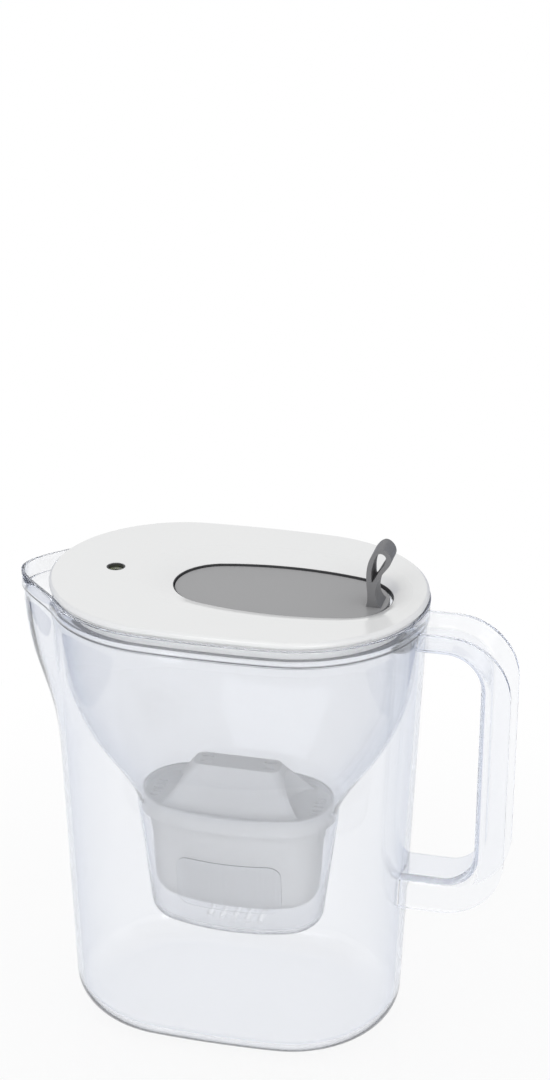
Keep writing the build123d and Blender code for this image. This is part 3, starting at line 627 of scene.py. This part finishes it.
# Skin through rings of (level, oval), each extruded from the one before. Returns first and last edges.
def loftOvals(shape, rings, steps):
    turn = shape.verts.layers.int.new("turn")
    verts = bmesh.ops.create_circle(shape, segments=4 * steps, radius=1.0)["verts"]
    for count, vert in enumerate(verts):
        vert[turn] = count
    first = list(shape.edges)
    edges = first
    for index, (level, oval) in enumerate(rings):
        if index:
            grown = bmesh.ops.extrude_edge_only(shape, edges=edges)["geom"]
            verts = [item for item in grown if isinstance(item, bmesh.types.BMVert)]
            edges = [item for item in grown if isinstance(item, bmesh.types.BMEdge)
                     and item.verts[0] in verts and item.verts[1] in verts]
        for vert in verts:
            across, along = ovalPoint(oval, vert[turn], steps)
            vert.co = (across, along, level)
    return first, edges


# Piece of its own from a finished shape
def newPiece(name, body, material, shape):
    bmesh.ops.recalc_face_normals(shape, faces=shape.faces)
    mesh = bpy.data.meshes.new(name)
    shape.to_mesh(mesh)
    shape.free()
    mesh.materials.append(material)
    piece = addObject(name, mesh)
    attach(piece, body)
    return piece


# Quarter round between a level floor and a wall that leans by taper: (level, inset) pairs.
# The wall would meet the floor at (level, inset).
def cornerRound(level, inset, radius, taper, steps):
    lean = math.radians(taper)
    centre = inset - radius * math.tan(lean) + radius / math.cos(lean)
    points = []
    for step in range(steps + 1):
        angle = (math.pi / 2 - lean) * step / steps
        points.append((level + radius * (1.0 - math.cos(angle)), centre - radius * math.sin(angle)))
    return points


# Funnel: bowl and neck in one skin, from the floor's outside up over the lip and down to its inside
funnelForm = {
    "steps": 28,
    "wall": 1.8 * mm,
    "neckOval": (54.7 * mm, 33.2 * mm, 29.2 * mm),  # outside of the neck at the seat
    "neckBottom": 53.5 * mm,
    "neckFloor": 2.2 * mm,
    "neckTaper": 7.0,
    "neckCorner": 9.0 * mm,
    "cornerSteps": 8,
    "seatLevel": 120.0 * mm,
    "seatRise": 5.0 * mm,  # upright part of the inner wall, round the cartridge's rim
    "seatSteps": 6,
    "neckTop": 124.0 * mm,
    "bowlOval": (95.3 * mm, 66.3 * mm, 65.3 * mm),  # outside of the bowl under the lip
    "ledgeLevel": 240.0 * mm,
    "lipHeight": 3.0 * mm,
    "lipOverhang": 2.4 * mm,
    "lipRound": 0.8 * mm,
    "innerRound": 0.5 * mm,
    "slotLength": 16.0 * mm,
    "slotWidth": 3.0 * mm,
    "slotPitch": 7.0 * mm,
    "slotCount": 5,
    "slotSegments": 20,
    # Share of the height above the neck, share of the way out to the lip
    "shares": ((0.0, 0.0), (0.025, 0.013), (0.05, 0.04), (0.08, 0.081), (0.11, 0.13), (0.16, 0.218),
               (0.21, 0.31), (0.255, 0.402), (0.30, 0.49), (0.345, 0.57), (0.39, 0.64), (0.435, 0.703),
               (0.48, 0.76), (0.53, 0.814), (0.58, 0.86), (0.625, 0.894), (0.67, 0.92), (0.725, 0.94),
               (0.78, 0.955), (0.84, 0.968), (0.90, 0.98), (0.95, 0.99), (1.0, 1.0)),
}


def neckRings(form, bottom, topInset, corner):
    height = form["seatLevel"] - bottom
    low = topInset + height * math.tan(math.radians(form["neckTaper"]))
    rings = [(level, insetOval(form["neckOval"], inset))
             for level, inset in cornerRound(bottom, low, corner, form["neckTaper"], form["cornerSteps"])]
    return rings + [(form["seatLevel"], insetOval(form["neckOval"], topInset))]


def bowlRings(form, inset):
    return [(form["neckTop"] + rise * (form["ledgeLevel"] - form["neckTop"]),
             insetOval(blendOval(form["neckOval"], form["bowlOval"], out), inset))
            for rise, out in form["shares"]]


def lipRings(form):
    outer = insetOval(form["bowlOval"], -form["lipOverhang"])
    top = form["ledgeLevel"] + form["lipHeight"]
    rings = [(form["ledgeLevel"], outer)]
    for radius, oval, turns in ((form["lipRound"], outer, (0, 1, 2, 3, 4)),
                                (form["innerRound"], insetOval(form["bowlOval"], form["wall"]),
                                 (4, 3, 2, 1, 0))):
        sense = 1 if oval is outer else -1
        for turn in turns:
            angle = turn * math.pi / 8
            rings.append((top - radius * (1 - math.sin(angle)),
                          insetOval(oval, sense * radius * (1 - math.cos(angle)))))
    return rings


def slotLoop(shape, x, level, form):
    half = (form["slotLength"] - form["slotWidth"]) / 2
    known = set(shape.edges)
    verts = bmesh.ops.create_circle(shape, segments=form["slotSegments"],
                                    radius=form["slotWidth"] / 2)["verts"]
    for vert in verts:
        vert.co = (x + vert.co.x, vert.co.y + math.copysign(half, vert.co.y), level)
    return [edge for edge in shape.edges if edge not in known]


def addFunnel(form):
    shape = bmesh.new()
    outside = neckRings(form, form["neckBottom"], 0.0, form["neckCorner"])
    floorTop = form["neckBottom"] + form["neckFloor"]
    inside = neckRings(form, floorTop, form["wall"], form["neckCorner"] - form["wall"])
    rings = outside + bowlRings(form, 0.0) + lipRings(form)
    seatOval = insetOval(form["neckOval"], form["wall"])
    seat = [(form["seatLevel"] - form["seatRise"] * step / form["seatSteps"], seatOval)
            for step in range(form["seatSteps"] + 1)]
    rings += bowlRings(form, form["wall"])[::-1] + seat + inside[:-1][::-1]
    outerFloor, innerFloor = loftOvals(shape, rings, form["steps"])
    low = list(outerFloor)
    high = list(innerFloor)
    for count in range(form["slotCount"]):
        x = (count - (form["slotCount"] - 1) / 2) * form["slotPitch"]
        under = slotLoop(shape, x, form["neckBottom"], form)
        over = slotLoop(shape, x, floorTop, form)
        bmesh.ops.bridge_loops(shape, edges=under + over)
        low += under
        high += over
    bmesh.ops.triangle_fill(shape, edges=low, use_beauty=True)
    bmesh.ops.triangle_fill(shape, edges=high, use_beauty=True)
    funnel = newPiece("funnelShell", "funnel", looks["clearFunnel"], shape)
    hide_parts("funnel_bowl", "funnel_neck")


addFunnel(funnelForm)


# Jug: body, rim band and spout in one skin, from the foot up over the rim and down to the inner floor
jugForm = {
    "steps": 56,
    "rimOval": (100.0 * mm, 71.0 * mm, 70.0 * mm),
    "height": 249.0 * mm,
    "ledgeLevel": 240.0 * mm,
    "taper": 2.25,
    "footInset": 10.63 * mm,
    "footRound": 18.0 * mm,
    "floorLevel": 3.5 * mm,
    "floorInset": 13.29 * mm,
    "floorRound": 15.2 * mm,
    "cornerSteps": 12,
    "bandInset": 1.2 * mm,
    "ledgeInset": 4.0 * mm,
    "ledgeRound": 1.1 * mm,
    "bandInner": 2.0 * mm,
    "rimRound": 0.8 * mm,
    "rimFillet": 0.2 * mm,  # between the ledge and the inside of the rim band
    "wallLevels": tuple(level * mm for level in range(146, 238, 4)),
    # In metres: level, reach of the spout's tip beyond the wall, half width where it leaves the wall
    "spout": ((0.150, 0.0, 0.032), (0.160, 0.0008, 0.033), (0.175, 0.00435, 0.034), (0.190, 0.0099, 0.035),
              (0.205, 0.0145, 0.0362), (0.225, 0.0173, 0.0375), (0.249, 0.01748, 0.0394)),
}


# S-shaped step between two insets: (level, inset) pairs
def softStep(low, lowInset, high, highInset, steps=6):
    points = []
    for step in range(steps + 1):
        share = (1.0 - math.cos(math.pi * step / steps)) / 2
        points.append((low + (high - low) * step / steps, lowInset + (highInset - lowInset) * share))
    return points


# Smooth curve through the rows of a table, whose first column is the level
def smoothTable(table, level, column):
    last = len(table) - 1
    index = max(count for count in range(last) if table[count][0] <= max(level, table[0][0]))
    slopes = []
    for count in (index, index + 1):
        before, after = table[max(count - 1, 0)], table[min(count + 1, last)]
        slopes.append((after[column] - before[column]) / (after[0] - before[0]))
    low, high = table[index], table[index + 1]
    span = high[0] - low[0]
    u = (level - low[0]) / span
    return ((1 + 2 * u) * (1 - u) ** 2 * low[column] + u * (1 - u) ** 2 * span * slopes[0]
            + u * u * (3 - 2 * u) * high[column] + u * u * (u - 1) * span * slopes[1])


def pullSpout(shape, form):
    for vert in shape.verts:
        if vert.co.x < 0.0 and vert.co.z > form["spout"][0][0]:
            share = abs(vert.co.y) / smoothTable(form["spout"], vert.co.z, 2)
            if share < 1.0:
                vert.co.x -= smoothTable(form["spout"], vert.co.z, 1) * (1 - share) ** 2 * (1 + 2 * share)


def wallRings(form, low, lowInset, ledgeInset):
    top = form["ledgeLevel"]
    return [(level, ledgeInset + (lowInset - ledgeInset) * (top - level) / (top - low))
            for level in form["wallLevels"]]


def addJug(form):
    shape = bmesh.new()
    top = form["height"]
    ledge = form["ledgeLevel"]
    radius = form["rimRound"]
    outside = cornerRound(0.0, form["footInset"], form["footRound"], form["taper"], form["cornerSteps"])
    outside += wallRings(form, 0.0, form["footInset"], form["bandInset"])
    outside += softStep(ledge - form["bandInset"], form["bandInset"], ledge, 0.0)
    turns = [count * math.pi / 8 for count in range(5)]
    rim = [(top - radius * (1 - math.sin(turn)), radius * (1 - math.cos(turn))) for turn in turns]
    rim += [(top - radius * (1 - math.sin(turn)), form["bandInner"] - radius * (1 - math.cos(turn)))
            for turn in turns[::-1]]
    curve = form["ledgeRound"]
    inside = cornerRound(form["floorLevel"], form["floorInset"], form["floorRound"], form["taper"],
                         form["cornerSteps"])
    inside += wallRings(form, form["floorLevel"], form["floorInset"], form["ledgeInset"])
    inside += [(ledge - curve * (1 - math.sin(turn)), form["ledgeInset"] - curve * (1 - math.cos(turn)))
               for turn in turns]
    inside.append((ledge, form["bandInner"] + form["rimFillet"]))
    inside.append((ledge + form["rimFillet"], form["bandInner"]))
    rings = [(level, insetOval(form["rimOval"], inset)) for level, inset in outside + rim + inside[::-1]]
    outerFloor, innerFloor = loftOvals(shape, rings, form["steps"])
    bmesh.ops.triangle_fill(shape, edges=outerFloor, use_beauty=True)
    bmesh.ops.triangle_fill(shape, edges=innerFloor, use_beauty=True)
    pullSpout(shape, form)
    jug = newPiece("jugShell", "jug", looks["clearJug"], shape)
    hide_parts("jug_shell")


addJug(jugForm)
print("jug and funnel shaped")


# CAD nodes that get rounded edges: (body, slot, look, radius)
roundedNodes = {
    "cartridge_cap": ("cartridge", "cartridge_white", "cartridgeWhite", 0.6 * mm),
    "lid_frame": ("lid", "lid_white", "lidWhite", 0.3 * mm),
    "indicator_socket": ("lid", "lid_white", "lidWhite", 0.3 * mm),
    "hinge_bracket_front": ("lid", "lid_white", "lidWhite", 0.3 * mm),
    "hinge_bracket_rear": ("lid", "lid_white", "lidWhite", 0.3 * mm),
    "flap_arm": ("flap", "arm_grey", "armGrey", 0.3 * mm),
    "pull_strap": ("flap", "strap_grey", "strapRubber", 0.5 * mm),
    "indicator_housing": ("indicator", "indicator_white", "indicatorWhite", 0.25 * mm),
    "indicator_ring": ("indicator", "indicator_white", "indicatorWhite", 0.25 * mm),
    "indicator_face": ("indicator", "indicator_white", "indicatorWhite", 0.15 * mm),
    "reset_button": ("button", "button_lime", "buttonLime", 0.2 * mm),
}
for nodeName, (bodyName, slotName, lookName, radius) in roundedNodes.items():
    refine(nodeName, bodyName, looks[lookName], radius)

# Looks of the CAD nodes that are shown as they are
plainNodes = {
    "jug_handle": "clearJug",
    "neck_plate": "windowPlate",
    "cartridge_tub": "cartridgeWhite",
    "cartridge_bottom_mesh": "meshWhite",
    "cartridge_top_mesh": "meshWhite",
    "cartridge_granulate": "granulateMix",
    "lid_cover": "lidWhite",
    "hinge_pin": "pinSteel",
    "fill_flap": "flapGrey",
    "indicator_base": "indicatorWhite",
    "status_led": "ledClear",
    "tact_switch": "switchBlack",
    "circuit_board": "boardGreen",
    "coin_cell": "cellSteel",
    "battery_clip": "clipBronze",
    "base_seal": "sealRubber",
    "sensor_pin_front": "pinSteel",
    "sensor_pin_rear": "pinSteel",
}
for nodeName, lookName in plainNodes.items():
    nodes[nodeName].data.materials.clear()
    nodes[nodeName].data.materials.append(looks[lookName])
print("nodes covered:", len(roundedNodes) + len(plainNodes))


# Dark bands of painted shade in gaps and holes, which show as dark lines
paintedShadeBands = {
    # Painted shade on the wall of the filling opening, round the flap, where the gap lies in shadow
    "flapSeal": {"body": "lid", "oval": (57.8 * mm, 30.0 * mm, 26.0 * mm), "centre": 23.6 * mm,
                 "bottom": 247.0 * mm, "top": 249.65 * mm, "wall": 0.35 * mm},
    # Painted shade at the top of the hole over the button, where the hole lies in shadow
    "holeShadeBand": {"body": "lid", "oval": (4.9 * mm, 4.9 * mm, 4.895 * mm), "centre": -66.0 * mm,
                  "bottom": 251.2 * mm, "top": 253.1 * mm, "wall": 0.9 * mm},
    # Painted shade in the joint between the indicator's housing and its ring
    "indicatorJoint": {"body": "indicator", "oval": (16.52 * mm, 16.52 * mm, 16.5 * mm),
                       "centre": -66.0 * mm, "bottom": 244.2 * mm, "top": 244.55 * mm, "wall": 0.5 * mm},
}


def addBand(name, body, oval, centre, bottom, top, wall, steps=24):
    shape = bmesh.new()
    inner = insetOval(oval, wall)
    first, last = loftOvals(shape, [(bottom, oval), (top, oval), (top, inner), (bottom, inner)], steps)
    bmesh.ops.bridge_loops(shape, edges=first + last)
    bmesh.ops.remove_doubles(shape, verts=shape.verts, dist=weldGap)
    bmesh.ops.translate(shape, verts=shape.verts, vec=(centre, 0.0, 0.0))
    newPiece(name, body, looks["gapShadeBlack"], shape)


for bandName, band in paintedShadeBands.items():
    addBand(bandName, **band)

# Clear plastic lets the lamps' light through to the pieces inside it.
for clearPiece in (bpy.data.objects["jugShell"], bpy.data.objects["funnelShell"], nodes["jug_handle"],
                   nodes["neck_plate"]):
    clearPiece.visible_shadow = False
print("bands added")
